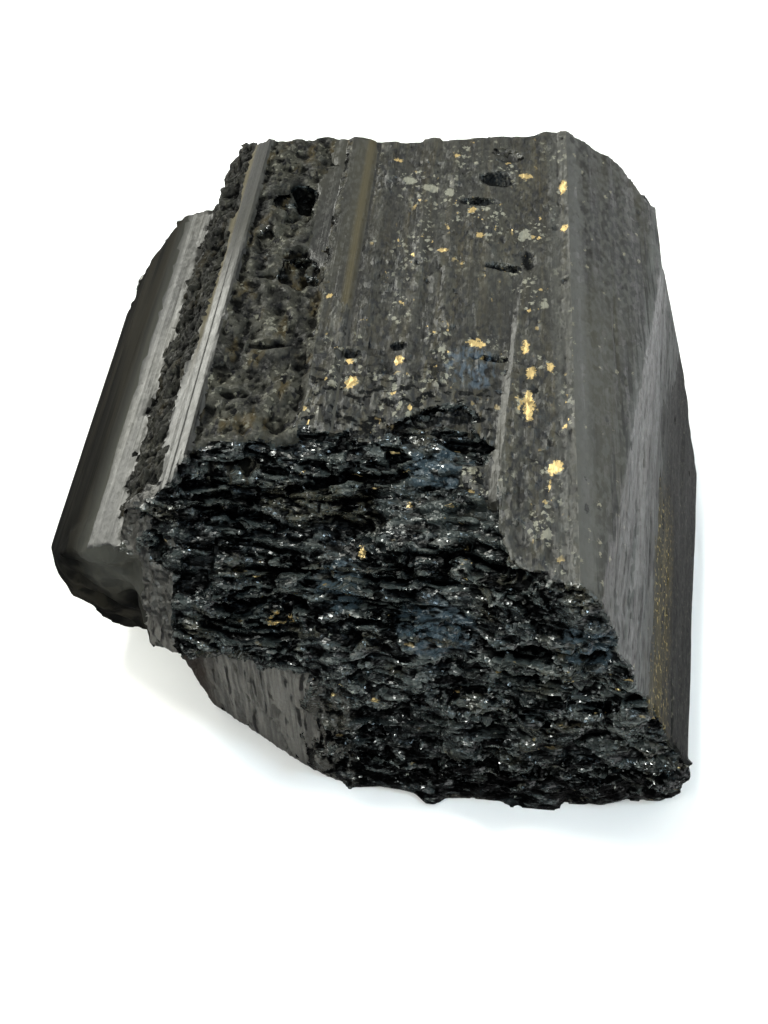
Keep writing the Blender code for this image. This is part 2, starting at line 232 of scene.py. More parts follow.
def top_relief(points, away):
    """The sides' ribs under a fine grit, with crust, pits and chips here and there."""
    grit = facets(points / (0.5, 1.2, 0.6), 51, 1.0, 0.6)
    crust = facets(points / (1.2, 2.4, 1.2), 52, 1.0, 0.6)
    worn = np.clip(0.45 + 1.5 * swell(points / (6.0, 9.0, 6.0), 53), 0.0, 1.0)
    worn = np.maximum(worn, np.clip((-3.0 - points[:, 1]) / 7.0, 0.0, 1.0))
    reach, draws = grains(points / (1.5, 1.9, 1.5), 55)
    pit = np.clip(1.0 - np.linalg.norm(reach, axis=1) / (0.12 + 0.16 * draws[:, 1]), 0.0, 1.0)
    height = 0.8 * side_relief(points, away) + (0.035 + 0.065 * worn) * grit + 0.13 * worn * crust
    height -= 0.45 * pit * (draws[:, 0] < 0.12 + 0.2 * worn)
    for (x, y), (wide, long), deep in CHIPS:
        way = np.hypot((points[:, 0] - x) / wide, (points[:, 1] - y) / long)
        way = way + 0.35 * swell(points / 0.9, 54)
        height -= deep * np.clip(1.6 - 1.6 * way, 0.0, 1.0)
    return height


def base_relief(points, _away):
    return 0.02 * swell(points / 2.0, 40)


RELIEFS = {
    SIDE: side_relief,
    TOP: top_relief,
    OUTER: outer_relief,
    DULL: side_relief,
    BREAK: break_relief,
    GROWTH: growth_relief,
    RECESS: recess_relief,
    BASE: base_relief,
}


# ---------------------------------------------------------------- the crystal's mesh


def merged_solid():
    """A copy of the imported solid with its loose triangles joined, in millimetres."""
    maker = bmesh.new()
    maker.from_mesh(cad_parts[NODE].data)
    bmesh.ops.scale(maker, vec=(1.0 / MM,) * 3, verts=maker.verts)
    bmesh.ops.remove_doubles(maker, verts=maker.verts, dist=1e-3)
    return maker


def within(value, span):
    return span[0] <= value <= span[1]


def kind_at(centre, normal, flat_side):
    """The kind of surface of a face of the solid."""
    if normal.z < -0.6 and centre.z < FOOT:
        return BASE
    if centre.z > 27.0 and within(centre.x, GRITTY_TOP) and normal.z > 0.9 and centre.y > -12.0:
        return TOP
    if centre.x > 12.0 and abs(normal.y) < 0.25 and centre.z > 3.0:
        flat_side = True
    if flat_side or (centre.x < SIDE_END[0] and centre.y < SIDE_END[1] and centre.z < 22.0):
        if centre.x < OUTER_SIDE_X or not flat_side:
            return OUTER
        if within(centre.x, STRIP_EDGE) and normal.x < -0.3:
            return GROWTH
        if centre.z > 27.0 and within(centre.x, GRITTY_TOP) and normal.z > 0.9:
            return TOP
        if centre.x > 15.0 and centre.z < 15.0 and normal.z < DULL_SIDE:
            return DULL
        return SIDE
    if within(centre.x, ROUGH_TOP["x"]) and within(centre.z, ROUGH_TOP["z"]) and centre.y > -17.0 and normal.z > 0.3 and normal.y > -0.55:
        return GROWTH
    if within(centre.x, GROOVE["x"]) and within(centre.z, GROOVE["z"]) and centre.y > -19.0:
        return GROWTH
    if within(centre.x, FLANK[0]) and centre.y < FLANK[1] and centre.z > 9.0 and normal.x < -0.3:
        return RECESS
    start, end = (Vector(point) for point in RECESS_LINE)
    run = (end - start).normalized()
    off = Vector((centre.x, centre.y)) - start
    if centre.z < RECESS_TOP and -1.0 < off.dot(run) < (end - start).length and abs(off.cross(run)) < 1.3 and normal.y < -0.6:
        return RECESS
    return BREAK


def solid_kinds(maker):
    """The kind of each face. Long faces along Y are flat sides, and so are those level with them."""
    maker.faces.ensure_lookup_table()
    flat = set()
    for face in maker.faces:
        longest = max(face.edges, key=lambda edge: edge.calc_length())
        way = longest.verts[1].co - longest.verts[0].co
        if way.length > LONG_FACE and abs(way.normalized().y) > 0.975:
            flat.add(face.index)
    front = list(flat)
    while front:
        face = maker.faces[front.pop()]
        for edge in face.edges:
            for other in edge.link_faces:
                if other.index not in flat and other.normal.angle(face.normal, pi) < radians(1.5):
                    flat.add(other.index)
                    front.append(other.index)
    return [kind_at(face.calc_center_median(), face.normal, face.index in flat) for face in maker.faces]


def settled(kinds, points):
    """The kinds at single points, where one gives way to another along a ragged line."""
    x, y, z = points.T
    kinds = kinds.copy()
    high = z > 26.9
    fading = (kinds == SIDE) & high & (x > -6.2) & (x < -3.6) & (y < 2.0 + 3.0 * swell(points / 1.6, 61))
    kinds[fading] = TOP
    low = 19.7 - 0.35 * np.maximum(y, 0.0) + 1.2 * swell(points / (0.7, 9.0, 0.7), 64)
    dulled = (kinds == SIDE) & (x > 18.0) & (z < low)
    kinds[dulled] = DULL
    lapped = (kinds == SIDE) & (x < -17.2) & (x > -20.1 + 0.9 * swell(points / (1.3, 1.5, 1.3), 62)) & (y > -18.5)
    kinds[lapped] = GROWTH
    splintered = (kinds == RECESS) & (y < -24.0) & (x > -4.6 + 2.2 * swell(points / (0.9, 0.9, 2.6), 63))
    kinds[splintered] = BREAK
    return kinds


def evaluated(obj):
    """The mesh that an object's modifiers make, in place of its own."""
    graph = bpy.context.evaluated_depsgraph_get()
    mesh = bpy.data.meshes.new_from_object(obj.evaluated_get(graph))
    obj.modifiers.clear()
    old = obj.data
    obj.data = mesh
    bpy.data.meshes.remove(old)


def coordinates(mesh):
    flat = np.empty(len(mesh.vertices) * 3, np.float32)
    mesh.vertices.foreach_get("co", flat)
    return flat.reshape(-1, 3).astype(np.float64)


def spread(values, edges, times):
    """Each vertex's values averaged with its neighbours', several times over."""
    count = np.bincount(edges.ravel(), minlength=len(values))[:, None]
    for _ in range(times):
        total = np.zeros_like(values)
        for column in range(values.shape[1]):
            low = np.bincount(edges[:, 0], values[edges[:, 1], column], len(values))
            high = np.bincount(edges[:, 1], values[edges[:, 0], column], len(values))
            total[:, column] = low + high
        values = (values + total) / (1 + count)
    return values


def roughen(mesh, tree, kinds):
    """Moves the fine mesh in and out by the relief of the surface that each vertex lies on."""
    points = coordinates(mesh)
    edges = np.empty(len(mesh.edges) * 2, np.int32)
    mesh.edges.foreach_get("vertices", edges)
    edges = edges.reshape(-1, 2)
    normals = np.empty(len(mesh.vertices) * 3, np.float32)
    mesh.vertex_normals.foreach_get("vector", normals)
    normals = spread(normals.reshape(-1, 3).astype(np.float64), edges, 5)
    normals /= np.maximum(np.linalg.norm(normals, axis=1, keepdims=True), 1e-6)
    found = settled(np.array([kinds[tree.find_nearest(point)[2]] for point in points]), points)
    shares = np.zeros((len(points), len(RELIEFS)))
    shares[np.arange(len(points)), found] = 1.0
    shares = spread(shares, edges, 3)
    points += shares[:, [BREAK]] * (spread(points, edges, 4) - points)
    away = np.where(points[:, 1] < 0.0, -1.0, 1.0)
    height = np.zeros(len(points))
    for kind, relief in RELIEFS.items():
        mine = shares[:, kind] > 0.01
        height[mine] += shares[mine, kind] * relief(points[mine], away[mine])
    points += normals * height[:, None]
    mesh.vertices.foreach_set("co", points.ravel())
    mesh.update()


def finish_mesh(obj, tree, kinds, sharp, finishes):
    """Materials by kind of surface, creases, and the size in metres."""
    mesh = obj.data
    mesh.materials.clear()
    for kind in sorted(finishes):
        mesh.materials.append(finishes[kind])
    centres = np.empty(len(mesh.polygons) * 3, np.float32)
    mesh.polygons.foreach_get("center", centres)
    centres = centres.reshape(-1, 3).astype(np.float64)
    found = settled(np.array([kinds[tree.find_nearest(centre)[2]] for centre in centres]), centres)
    mesh.polygons.foreach_set("material_index", found.astype(np.int32))
    smooth = np.ones(len(mesh.polygons), bool)
    mesh.polygons.foreach_set("use_smooth", smooth)
    mesh.set_sharp_from_angle(angle=sharp)
    points = coordinates(mesh) * MM
    low, high = np.array(SOLID_LOW), np.array(SOLID_HIGH)
    mesh.vertices.foreach_set("co", np.clip(points, low, high).ravel())
    mesh.update()


def mark_hollows(mesh):
    """Stores at each vertex how far it lies in a hollow (1) or on a crest (0), by which the materials paint shade in
    the hollows and light on the crests.
    """
    points = coordinates(mesh)
    edges = np.empty(len(mesh.edges) * 2, np.int32)
    mesh.edges.foreach_get("vertices", edges)
    normals = np.empty(len(mesh.vertices) * 3, np.float32)
    mesh.vertex_normals.foreach_get("vector", normals)
    around = spread(points, edges.reshape(-1, 2), 5) - points
    deep = np.sum(around * normals.reshape(-1, 3), axis=1)
    hollow = np.clip(0.5 + deep / 0.3, 0.0, 1.0).astype(np.float32)
    mesh.attributes.new("hollow", "FLOAT", "POINT").data.foreach_set("value", hollow)


def crystal_object(settings, finishes):
    """The stone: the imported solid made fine, roughened, and thinned where it is smooth."""
    maker = merged_solid()
    tree = BVHTree.FromBMesh(maker)
    kinds = solid_kinds(maker)
    mesh = bpy.data.meshes.new("schorl_chunk")
    maker.to_mesh(mesh)
    maker.free()
    stone = bpy.data.objects.new("schorl_chunk", mesh)
    bpy.context.scene.collection.objects.link(stone)
    refine = stone.modifiers.new("Refine", "REMESH")
    refine.mode = "VOXEL"
    refine.voxel_size = settings.fineness / MM
    evaluated(stone)
    roughen(stone.data, tree, kinds)
    triangles = 2 * len(stone.data.polygons)
    thin = stone.modifiers.new("Thin", "DECIMATE")
    thin.ratio = min(1.0, settings.most_triangles / triangles)
    evaluated(stone)
    mark_hollows(stone.data)
    finish_mesh(stone, tree, kinds, settings.crease, finishes)
    return stone


# ---------------------------------------------------------------- nodes


def node(tree, kind, inputs=None, **settings):
    """A node with its settings, and with each input set to a value or linked to a socket."""
    made = tree.nodes.new(kind)
    for name, value in settings.items():
        setattr(made, name, value)
    for key, value in (inputs or {}).items():
        if isinstance(value, bpy.types.NodeSocket):
            tree.links.new(value, made.inputs[key])
        else:
            made.inputs[key].default_value = value
    return made


def maths(tree, operation, first, second=0.0, third=0.0, clamp=False):
    made = node(tree, "ShaderNodeMath", {0: first, 1: second, 2: third}, operation=operation, use_clamp=clamp)
    return made.outputs[0]


def vectors(tree, operation, first, second=None):
    inputs = {0: first} if second is None else {0: first, 1: second}
    return node(tree, "ShaderNodeVectorMath", inputs, operation=operation).outputs[0]


def scaled(tree, vector, scale):
    return node(tree, "ShaderNodeVectorMath", {0: vector, "Scale": scale}, operation="SCALE").outputs[0]


def mixed(tree, share, first, second):
    made = node(tree, "ShaderNodeMix", {0: share, 6: first, 7: second}, data_type="RGBA")
    return made.outputs[2]


def blended(tree, share, first, second):
    return node(tree, "ShaderNodeMix", {0: share, 2: first, 3: second}).outputs[0]


def new_group(name, inputs, outputs):
    """An empty node group: its tree, its inputs by name, and the node that takes its results."""
    tree = bpy.data.node_groups.new(name, "ShaderNodeTree")
    kinds = {"float": "NodeSocketFloat", "vector": "NodeSocketVector"}
    for label, kind, default in inputs:
        socket = tree.interface.new_socket(label, in_out="INPUT", socket_type=kinds[kind])
        socket.default_value = default
    for label, kind in outputs:
        tree.interface.new_socket(label, in_out="OUTPUT", socket_type=kinds[kind])
    return tree, tree.nodes.new("NodeGroupInput").outputs, tree.nodes.new("NodeGroupOutput")


def millimetre_place(tree):
    """Object coordinates in millimetres."""
    place = node(tree, "ShaderNodeTexCoord").outputs["Object"]
    return scaled(tree, place, 1.0 / MM)


def lines_group():
    """Fine parallel lines: Spacing is long in the direction that they run."""
    tree, given, result = new_group(
        "Schorl lines",
        [("Spacing", "vector", (0.35, 40.0, 0.35)), ("Seed", "float", 0.0)],
        [("Height", "float"), ("Streak", "float")],
    )
    place = vectors(tree, "DIVIDE", millimetre_place(tree), given["Spacing"])
    fine = node(
        tree, "ShaderNodeTexNoise", {"Vector": place, "W": given["Seed"], "Scale": 1.0, "Detail": 3.0},
        noise_dimensions="4D",
    )
    broad = node(
        tree, "ShaderNodeTexNoise", {"Vector": place, "W": given["Seed"], "Scale": 0.22, "Detail": 2.0},
        noise_dimensions="4D",
    )
    tree.links.new(fine.outputs["Fac"], result.inputs["Height"])
    tree.links.new(broad.outputs["Fac"], result.inputs["Streak"])
    return tree


def grain_group():
    """Flat grains, each leaning its own way."""
    tree, given, result = new_group(
        "Schorl grain",
        [("Size", "vector", (0.6, 0.4, 0.35)), ("Lean", "float", 0.5)],
        [("Tilt", "vector"), ("Draw", "float"), ("Edge", "float")],
    )
    place = vectors(tree, "DIVIDE", millimetre_place(tree), given["Size"])
    cells = node(tree, "ShaderNodeTexVoronoi", {"Vector": place, "Scale": 1.0})
    centred = vectors(tree, "SUBTRACT", cells.outputs["Color"], (0.5, 0.5, 0.5))
    lean = scaled(tree, centred, given["Lean"])
    split = node(tree, "ShaderNodeSeparateXYZ", {0: cells.outputs["Color"]})
    tree.links.new(lean, result.inputs["Tilt"])
    tree.links.new(split.outputs[0], result.inputs["Draw"])
    tree.links.new(cells.outputs["Distance"], result.inputs["Edge"])
    return tree


def speck_group():
    """Scattered specks: Spacing and Size in millimetres, Share is how many of the places hold one."""
    tree, given, result = new_group(
        "Schorl specks",
        [("Spacing", "float", 1.2), ("Size", "float", 0.2), ("Share", "float", 0.2), ("Stretch", "float", 1.0)],
        [("Mask", "float")],
    )
    place = millimetre_place(tree)
    wobble = node(tree, "ShaderNodeTexNoise", {"Vector": place, "Scale": 5.0, "Detail": 2.0})
    wobble = vectors(tree, "SUBTRACT", wobble.outputs["Color"], (0.5, 0.5, 0.5))
    place = vectors(tree, "ADD", place, scaled(tree, wobble, 0.6))
    size = node(tree, "ShaderNodeCombineXYZ", {0: 1.0, 1: given["Stretch"], 2: 1.0}).outputs[0]
    size = scaled(tree, size, given["Spacing"])
    cells = node(tree, "ShaderNodeTexVoronoi", {"Vector": vectors(tree, "DIVIDE", place, size), "Scale": 1.0})
    draws = node(tree, "ShaderNodeSeparateXYZ", {0: cells.outputs["Color"]})
    chosen = maths(tree, "LESS_THAN", draws.outputs[0], given["Share"])
    radius = maths(tree, "DIVIDE", given["Size"], given["Spacing"])
    radius = maths(tree, "MULTIPLY", radius, maths(tree, "ADD", draws.outputs[1], 0.4))
    near = maths(tree, "SUBTRACT", radius, cells.outputs["Distance"])
    near = maths(tree, "MULTIPLY", near, 14.0, clamp=True)
    tree.links.new(maths(tree, "MULTIPLY", near, chosen), result.inputs["Mask"])
    return tree


def fleck_group():
    """One flake, at its own place and turn."""
    tree, given, result = new_group(
        "Gold flake",
        [("Place", "vector", (0.0, 0.0, 0.0)), ("Middle", "vector", (0.0, 0.0, 0.0)),
         ("Reach", "vector", (0.3, 0.8, 1.0)), ("Turn", "float", 0.0)],
        [("Mask", "float")],
    )
    way = vectors(tree, "SUBTRACT", given["Place"], given["Middle"])
    turned = node(tree, "ShaderNodeVectorRotate", {"Vector": way, "Angle": given["Turn"]}, rotation_type="Z_AXIS")
    share = vectors(tree, "DIVIDE", turned.outputs[0], given["Reach"])
    far = node(tree, "ShaderNodeVectorMath", {0: share}, operation="LENGTH").outputs["Value"]
    near = maths(tree, "MULTIPLY", maths(tree, "SUBTRACT", 1.0, far), 6.0, clamp=True)
    tree.links.new(near, result.inputs["Mask"])
    return tree


def zone_group():
    """1 between Low and High, with soft ends."""
    tree, given, result = new_group(
        "Zone",
        [("Value", "float", 0.0), ("Low", "float", 0.0), ("High", "float", 1.0), ("Soft", "float", 0.5)],
        [("Mask", "float")],
    )
    start = maths(tree, "DIVIDE", maths(tree, "SUBTRACT", given["Value"], given["Low"]), given["Soft"], clamp=True)
    end = maths(tree, "DIVIDE", maths(tree, "SUBTRACT", given["High"], given["Value"]), given["Soft"], clamp=True)
    tree.links.new(maths(tree, "MULTIPLY", start, end), result.inputs["Mask"])
    return tree


def painted_light_and_shade_group():
    """Masks for painted light on crests and painted shade in hollows, told apart by how far a place lies in a hollow.
    """
    tree, given, result = new_group("Crests and hollows", [("Hollow", "float", 0.5)], [("Crest", "float"), ("Deep", "float")])
    crest = node(tree, "ShaderNodeMapRange", {0: given["Hollow"], 1: 0.42, 2: 0.12}).outputs[0]
    deep = node(tree, "ShaderNodeMapRange", {0: given["Hollow"], 1: 0.53, 2: 0.8}).outputs[0]
    tree.links.new(crest, result.inputs["Crest"])
    tree.links.new(deep, result.inputs["Deep"])
    return tree


def use(tree, groups, name, inputs):
    """A group placed in a material with its own values."""
    made = tree.nodes.new("ShaderNodeGroup")
    made.node_tree = groups[name]
    for key, value in inputs.items():
        if isinstance(value, bpy.types.NodeSocket):
            tree.links.new(value, made.inputs[key])
        else:
            made.inputs[key].default_value = value
    return made.outputs


def noise_mask(tree, scale, low, high, stretch=(1.0, 1.0, 1.0), detail=3.0):
    """A soft patchy mask: scale in patches per millimetre."""
    place = vectors(tree, "DIVIDE", millimetre_place(tree), stretch)
    cloud = node(tree, "ShaderNodeTexNoise", {"Vector": place, "Scale": scale, "Detail": detail})
    made = node(
        tree, "ShaderNodeMapRange", {0: cloud.outputs["Fac"], 1: low, 2: high}, interpolation_type="SMOOTHSTEP"
    )
    return made.outputs[0]


def new_material(name):
    material = bpy.data.materials.new(name)
    material.use_nodes = True
    tree = material.node_tree
    shader = tree.nodes["Principled BSDF"]
    shader.inputs["IOR"].default_value = 1.64
    return material, tree, shader


def leaning_normal(tree, tilts):
    """The surface's own normal with the grains' leanings added."""
    normal = node(tree, "ShaderNodeNewGeometry").outputs["Normal"]
    for tilt in tilts:
        normal = vectors(tree, "ADD", normal, tilt)
    return vectors(tree, "NORMALIZE", normal)


# ---------------------------------------------------------------- materials

# Flakes of gold mica: the middle, half the size, and the turn about Z in degrees
TOP_FLAKES = [
    ((-2.5, -8.4, 28.2), (0.55, 0.75, 1.5), 20),
    ((-2.9, -5.8, 28.3), (0.3, 0.5, 1.5), -15),
    ((1.0, -5.3, 28.3), (0.4, 0.6, 1.5), 0),
    ((11.5, -9.7, 28.5), (0.42, 1.75, 1.5), -2),
    ((11.2, -2.8, 28.6), (0.3, 0.9, 1.5), 0),
    ((11.7, -5.9, 28.6), (0.35, 0.8, 1.5), 10),
    ((13.2, -5.2, 28.6), (0.3, 0.6, 1.5), -10),
    ((13.5, -16.2, 28.5), (0.5, 0.85, 1.5), 30),
    ((11.1, 21.8, 28.6), (0.7, 0.45, 1.5), 0),
    ((14.6, 19.8, 28.7), (0.35, 1.1, 1.5), 0),
    ((14.6, 13.3, 28.7), (0.3, 0.5, 1.5), 0),
    ((7.2, -2.7, 28.3), (0.8, 0.45, 1.5), 0),
    ((6.2, 15.7, 28.5), (0.3, 0.5, 1.5), 20),
    ((7.0, 11.9, 28.4), (0.45, 0.45, 1.5), 0),
    ((3.8, 9.4, 28.4), (0.5, 0.3, 1.5), 0),
    ((-1.3, 23.6, 28.5), (0.4, 0.4, 1.5), 0),
]
TOP_CHALK = [
    ((0.1, 20.2, 28.5), (0.7, 0.6, 1.5), 30),
    ((2.1, 19.0, 28.5), (0.8, 0.7, 1.5), 0),
    ((4.0, 18.4, 28.5), (0.45, 0.7, 1.5), 0),
    ((11.0, 12.4, 28.6), (0.5, 1.0, 1.5), 20),
]
CHALKY_PLACES = [
    ((0.9, 20.2, 28.5), (2.6, 1.8, 2.0), 0),
    ((3.6, 17.8, 28.5), (1.9, 1.3, 2.0), 0),
    ((7.9, 15.4, 28.5), (1.6, 0.9, 2.0), 0),
    ((11.0, 12.2, 28.6), (1.1, 1.7, 2.0), 0),
    ((0.6, 1.2, 28.3), (1.2, 2.4, 2.0), 0),
    ((3.6, -1.6, 28.3), (1.5, 1.1, 2.0), 0),
    ((7.6, -2.4, 28.3), (1.6, 1.0, 2.0), 0),
    ((12.4, -5.2, 28.5), (1.6, 1.4, 2.0), 0),
]
BREAK_FLAKES = [
    ((-5.5, -12.6, 28.3), (0.45, 0.5, 1.2), 0),
    ((-6.3, -25.6, 20.0), (1.15, 0.8, 0.35), 0),
    ((-0.4, -21.8, 24.0), (0.3, 0.6, 0.5), 0),
    ((3.6, -12.7, 26.5), (0.5, 0.6, 0.8), 0),
    ((2.9, -18.8, 26.0), (0.6, 0.4, 0.5), 0),
    ((17.1, -22.2, 26.5), (0.35, 0.6, 0.8), 0),
]
# Patches of painted bluish sheen on the break and the top: the middle, half the size, and the turn about Z in degrees
PAINTED_SHEEN_PATCHES = [
    ((5.4, -26.8, 22.0), (3.2, 3.0, 2.2), 0),
    ((16.2, -28.4, 24.0), (2.0, 3.0, 2.4), 0),
    ((5.0, -15.7, 27.0), (3.0, 2.4, 2.0), 0),
    ((-2.0, -24.0, 22.5), (2.2, 3.0, 1.6), 0),
    ((6.9, -5.5, 28.3), (2.4, 2.6, 1.5), 0),
]

# Ledges of the break painted lighter, as painted light on their up-facing treads
PAINTED_LIGHT_TERRACE = [
    ((2.6, -19.2, 26.8), (2.6, 2.0, 1.6), 0),
    ((7.0, -20.4, 27.2), (3.0, 2.4, 1.8), 0),
]


def ragged_place(tree):
    """The place in millimetres, shaken so that what is drawn with it has ragged rims."""
    place = millimetre_place(tree)
    for scale, shake in ((3.0, 0.55), (6.5, 0.7)):
        noise = node(tree, "ShaderNodeTexNoise", {"Vector": place, "Scale": scale, "Detail": 2.0})
        noise = vectors(tree, "SUBTRACT", noise.outputs["Color"], (0.5, 0.5, 0.5))
        place = vectors(tree, "ADD", place, scaled(tree, noise, shake))
    return place


def flakes(tree, groups, ragged, places):
    """The mask of several flakes together."""
    total = None
    for middle, reach, turn in places:
        inputs = {"Place": ragged, "Middle": middle, "Reach": reach, "Turn": radians(turn)}
        mask = use(tree, groups, "flake", inputs)["Mask"]
        total = mask if total is None else maths(tree, "MAXIMUM", total, mask)
    return total


def zone(tree, groups, value, low, high, soft=0.3):
    return use(tree, groups, "zone", {"Value": value, "Low": low, "High": high, "Soft": soft})["Mask"]


def axes(tree):
    """Object coordinates in millimetres, one axis at a time."""
    return node(tree, "ShaderNodeSeparateXYZ", {0: millimetre_place(tree)}).outputs


def ranged(tree, value, low, high):
    """A share between 0 and 1 turned into a value between low and high."""
    return node(tree, "ShaderNodeMapRange", {0: value, 3: low, 4: high}).outputs[0]


def line_height(tree, groups, spacing, coarse, seed):
    """Fine lines on broader ones."""
    fine = use(tree, groups, "lines", {"Spacing": spacing, "Seed": seed})
    broad = use(tree, groups, "lines", {"Spacing": tuple(coarse * part for part in spacing), "Seed": seed + 3.0})
    return blended(tree, 0.62, fine["Height"], broad["Height"]), fine["Streak"]


def bumped(tree, height, depth, normal=None):
    inputs = {"Strength": 1.0, "Distance": depth * MM, "Height": height}
    if normal is not None:
        inputs["Normal"] = normal
    return node(tree, "ShaderNodeBump", inputs).outputs[0]


def link_all(tree, shader, sockets):
    for name, socket in sockets.items():
        tree.links.new(socket, shader.inputs[name])



def pepper(tree, scale, low, high, stretch=(0.6, 1.4, 0.7)):
    """Hard-edged mottling as fine as sand."""
    return noise_mask(tree, scale, low, high, stretch, 4.0)


def painted_crest_light_and_hollow_shade(tree, groups):
    """Masks for painted light on the crests and painted shade in the hollows of the relief."""
    hollow = node(tree, "ShaderNodeAttribute", attribute_name="hollow").outputs["Fac"]
    masks = use(tree, groups, "relief", {"Hollow": hollow})
    return masks["Crest"], masks["Deep"]


def both(tree, first, second):
    return maths(tree, "MULTIPLY", first, second)


def gold_streak(tree, groups, x, y):
    """Where the golden dust runs down the right flank."""
    place = maths(tree, "ADD", x, maths(tree, "MULTIPLY", y, -0.082))
    streak = zone(tree, groups, place, 23.0, 26.2, 1.0)
    return both(tree, streak, zone(tree, groups, y, -40.0, -6.0, 8.0))


def side_material(groups, finish):
    """The ribbed prism faces: glossy black, lined along the crystal, under a thin film."""
    material, tree, shader = new_material("schorl_ribbed_side")
    height, streak = line_height(tree, groups, (0.26, 34.0, 0.26), 3.4, 1.0)
    fine = use(tree, groups, "grain", {"Size": (0.2, 0.3, 0.2), "Lean": 0.1})
    broad = use(tree, groups, "grain", {"Size": (0.5, 0.8, 0.5), "Lean": 0.22})
    x, y, z = axes(tree)
    film = noise_mask(tree, 0.16, 0.38, 0.68, (0.5, 3.0, 0.8))
    colour = mixed(tree, film, (*finish.stone, 1.0), (*finish.film, 1.0))
    mottled = pepper(tree, 1.5, 0.46, 0.6)
    right = zone(tree, groups, x, 14.0, 40.0, 1.5)
    colour = mixed(tree, both(tree, mottled, ranged(tree, right, 0.4, 0.9)), colour, (0.07, 0.07, 0.062, 1.0))
    # An olive stain beside the smooth strip, a golden line and a dark hairline along the bevel
    stain = both(tree, zone(tree, groups, x, -4.6, -3.3, 0.4), zone(tree, groups, y, -2.0, 40.0, 3.0))
    colour = mixed(tree, both(tree, stain, 0.85), colour, (0.075, 0.06, 0.026, 1.0))
    olive = both(tree, zone(tree, groups, x, -16.3, -15.5, 0.3), zone(tree, groups, y, -8.0, 40.0, 8.0))
    colour = mixed(tree, olive, colour, (0.1, 0.082, 0.042, 1.0))
    hairline = both(tree, zone(tree, groups, x, -15.0, -14.8, 0.07), zone(tree, groups, y, -40.0, 12.0, 5.0))
    colour = mixed(tree, hairline, colour, (0.002, 0.002, 0.002, 1.0))
    worn = zone(tree, groups, x, 14.0, 16.6, 0.7)
    colour = mixed(tree, both(tree, worn, 0.6), colour, (0.1, 0.1, 0.092, 1.0))
    specks = use(tree, groups, "specks", {"Spacing": 0.75, "Size": 0.16, "Share": 0.2, "Stretch": 1.5})
    specks = both(tree, specks["Mask"], right)
    colour = mixed(tree, specks, colour, (0.24, 0.22, 0.16, 1.0))
    pits = use(tree, groups, "specks", {"Spacing": 1.1, "Size": 0.27, "Share": 0.3, "Stretch": 2.0})
    pits = both(tree, pits["Mask"], right)
    colour = mixed(tree, pits, colour, (0.002, 0.002, 0.002, 1.0))
    # Beyond a line that runs slightly askew, the right side is lighter and scored
    across = maths(tree, "ADD", x, maths(tree, "MULTIPLY", y, -0.137))
    lighter = both(tree, zone(tree, groups, across, 20.6, 60.0, 0.7), noise_mask(tree, 0.7, 0.3, 0.6, (0.4, 9.0, 0.4)))
    colour = mixed(tree, both(tree, lighter, 0.75), colour, (0.115, 0.12, 0.115, 1.0))
    scored = both(tree, zone(tree, groups, across, 19.4, 60.0, 0.7), noise_mask(tree, 1.3, 0.55, 0.6, (0.4, 9.0, 0.4)))
    colour = mixed(tree, both(tree, scored, 0.85), colour, (0.003, 0.003, 0.003, 1.0))
    roughness = maths(tree, "ADD", ranged(tree, streak, 0.22, 0.46), both(tree, mottled, 0.1))
    dull = both(tree, zone(tree, groups, x, -18.0, -13.0, 0.3), zone(tree, groups, y, 0.0, 40.0, 12.0))
    dull = maths(tree, "MAXIMUM", dull, maths(tree, "MAXIMUM", olive, hairline))
    dull = maths(tree, "MAXIMUM", dull, zone(tree, groups, x, -40.0, -21.6, 1.0))
    lower = both(tree, zone(tree, groups, x, 18.0, 40.0, 1.0), zone(tree, groups, z, -5.0, 22.6, 3.0))
    dull = maths(tree, "MAXIMUM", dull, both(tree, lower, 0.7))
    roughness = maths(tree, "ADD", roughness, both(tree, dull, 0.4))
    link_all(tree, shader, {
        "Base Color": colour,
        "Roughness": roughness,
        "Normal": bumped(tree, height, 0.15, leaning_normal(tree, (fine["Tilt"], scaled(tree, broad["Tilt"], ranged(tree, right, 0.3, 1.0))))),
    })
    return material


def dull_material(groups, finish):
    """The steep right flank: duller, speckled, with a run of golden dust."""
    material, tree, shader = new_material("schorl_dull_flank")
    height, streak = line_height(tree, groups, (0.3, 36.0, 0.3), 3.2, 2.0)
    fine = use(tree, groups, "grain", {"Size": (0.22, 0.32, 0.22), "Lean": 0.16})
    x, y, z = axes(tree)
    mottled = pepper(tree, 1.7, 0.44, 0.62)
    colour = mixed(tree, mottled, (0.007, 0.007, 0.007, 1.0), (0.028, 0.028, 0.024, 1.0))
    pale = pepper(tree, 2.6, 0.62, 0.68, (0.6, 1.0, 0.6))
    colour = mixed(tree, both(tree, pale, 0.6), colour, (0.17, 0.16, 0.12, 1.0))
    streak_of_gold = gold_streak(tree, groups, x, y)
    colour = mixed(tree, both(tree, streak_of_gold, pepper(tree, 0.6, 0.34, 0.6, (0.4, 6.0, 0.4))), colour, (0.07, 0.055, 0.022, 1.0))
    gold = both(tree, pepper(tree, 2.4, 0.595, 0.635, (0.6, 1.0, 0.6)), streak_of_gold)
    colour = mixed(tree, both(tree, gold, 0.9), colour, (0.5, 0.38, 0.15, 1.0))
    upper = both(tree, zone(tree, groups, z, 16.5, 40.0, 4.0), noise_mask(tree, 0.9, 0.35, 0.6, (0.4, 9.0, 0.4)))
    colour = mixed(tree, both(tree, upper, 0.7), colour, (0.1, 0.1, 0.095, 1.0))
    link_all(tree, shader, {
        "Base Color": colour,
        "Roughness": ranged(tree, streak, 0.5, 0.75),
        "Normal": bumped(tree, height, 0.12, leaning_normal(tree, (fine["Tilt"],))),
    })
    shader.inputs["Specular IOR Level"].default_value = 0.14
    return material


